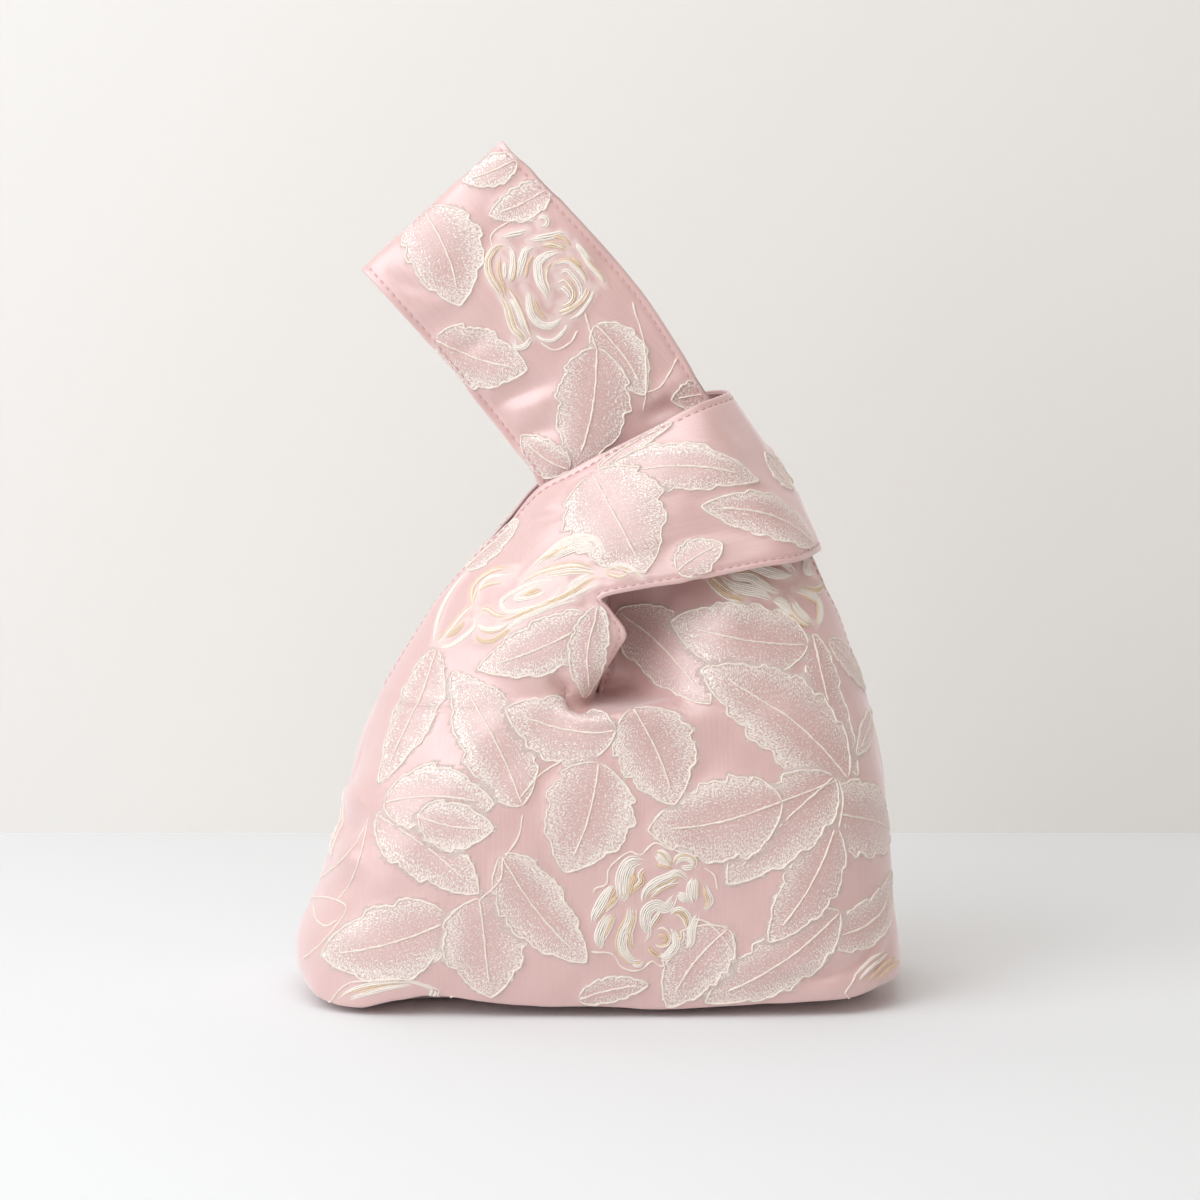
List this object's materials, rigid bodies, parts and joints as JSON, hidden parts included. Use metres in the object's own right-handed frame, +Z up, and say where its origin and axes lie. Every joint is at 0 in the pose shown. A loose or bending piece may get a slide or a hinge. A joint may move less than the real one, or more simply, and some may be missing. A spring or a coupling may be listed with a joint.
{
  "type": "knot bag",
  "caption": "Soft standing wrist bag in patterned satin whose long handle passes up through the loop of its short handle to close the mouth.",
  "frame": {"origin": "middle of the bag's outline at table level, on the bottom seam", "axes": "+Z up to the top of the long handle, +X along the base to the right as seen from the front, +Y from front to back"},
  "size_m": [0.2204, 0.104, 0.3095],
  "materials": {
    "satin_outer": "pink satin with ivory floral embroidery",
    "lining": "plain pink lining satin"
  },
  "bodies": {
    "root": {"outer_front_panel": "satin_outer", "outer_back_panel": "satin_outer", "lining_front_panel": "lining", "lining_back_panel": "lining"}
  },
  "joints": []
}
